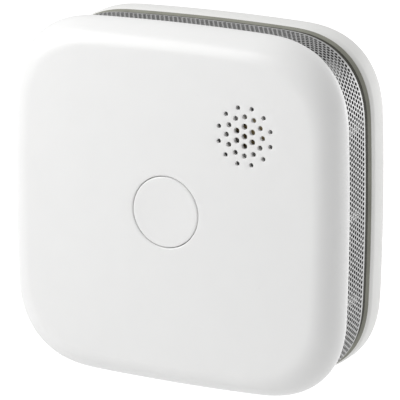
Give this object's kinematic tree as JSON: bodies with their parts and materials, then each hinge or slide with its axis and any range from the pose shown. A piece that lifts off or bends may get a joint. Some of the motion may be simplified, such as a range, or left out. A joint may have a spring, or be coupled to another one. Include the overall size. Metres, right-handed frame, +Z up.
{
  "type": "carbon monoxide detector",
  "caption": "Wall carbon monoxide alarm: white rounded-square cover with test button and sounder holes, steel mesh vent round the sides, twist-off rear mounting plate.",
  "frame": {"origin": "middle of the mounting plate's rear face, on the wall", "axes": "+Z up, -Y out of the wall towards the room, +X to the right as seen from the room"},
  "size_m": [0.1, 0.0353, 0.1],
  "materials": {
    "cover_plastic": "smooth gloss moulding",
    "housing_plastic": "smooth satin moulding",
    "screen_steel": "etched and perforated sheet",
    "seal_rubber": "matt",
    "chassis_plastic": "fine textured moulding",
    "circuit_board": "solder mask over copper tracks",
    "clear_plastic": "frosted clear",
    "black_plastic": "moulded",
    "plunger_plastic": "moulded",
    "plated_steel": "bright plating",
    "sheet_brass": "rolled sheet",
    "piezo_layer": "fired ceramic with a silvered face",
    "gasket_foam": "closed-cell foam",
    "cell_sleeve": "shrink sleeve"
  },
  "bodies": {
    "wall_bracket": {"mounting_plate": "housing_plastic"},
    "detector": {"front_cover": "cover_plastic", "light_guide": "clear_plastic", "mesh_screen": "screen_steel", "sealing_ring": "seal_rubber", "rear_housing": "housing_plastic", "chassis": "chassis_plastic", "main_pcb": "circuit_board", "cover_screw_1": "plated_steel", "cover_screw_2": "plated_steel", "cover_screw_3": "plated_steel", "cover_screw_4": "plated_steel", "pcb_screw_1": "plated_steel", "pcb_screw_2": "plated_steel", "pcb_screw_3": "plated_steel", "switch_body": "black_plastic", "status_led_1": "clear_plastic", "status_led_2": "clear_plastic", "status_led_3": "clear_plastic", "status_led_4": "clear_plastic", "sounder_base": "housing_plastic", "piezo_disc": "sheet_brass", "piezo_ceramic": "piezo_layer", "sounder_cap": "housing_plastic", "sounder_gasket": "gasket_foam", "co_sensor_can": "plated_steel", "co_sensor_filter": "black_plastic", "co_sensor_pin_1": "plated_steel", "co_sensor_pin_2": "plated_steel", "battery_1": "cell_sleeve", "battery_2": "cell_sleeve", "battery_contact_negative": "plated_steel", "battery_contact_positive": "plated_steel", "battery_bridge": "plated_steel", "battery_lid": "housing_plastic", "capacitor_1": "plated_steel", "capacitor_2": "plated_steel", "power_inductor": "black_plastic", "processor_chip": "black_plastic", "radio_board": "circuit_board", "radio_shield": "plated_steel", "antenna": "sheet_brass"},
    "button": {"test_button": "cover_plastic"},
    "plunger": {"switch_plunger": "plunger_plastic"}
  },
  "joints": [
    {"name": "bayonet_twist", "type": "hinge", "parent": "wall_bracket", "child": "detector", "pos_m": [0, 0, 0], "axis": [0, -1, 0], "range_deg": [0, 20]},
    {"name": "button_press", "type": "slide", "parent": "detector", "child": "button", "axis": [0, 1, 0], "range_m": [0, 0.0005], "stiffness_N_per_m": 3000, "springref_m": -0.0002},
    {"name": "plunger_press", "type": "slide", "parent": "detector", "child": "plunger", "axis": [0, 1, 0], "range_m": [0, 0.0005]}
  ],
  "couplings": [
    {"joint": "plunger_press", "follows": "button_press", "ratio": 1}
  ]
}
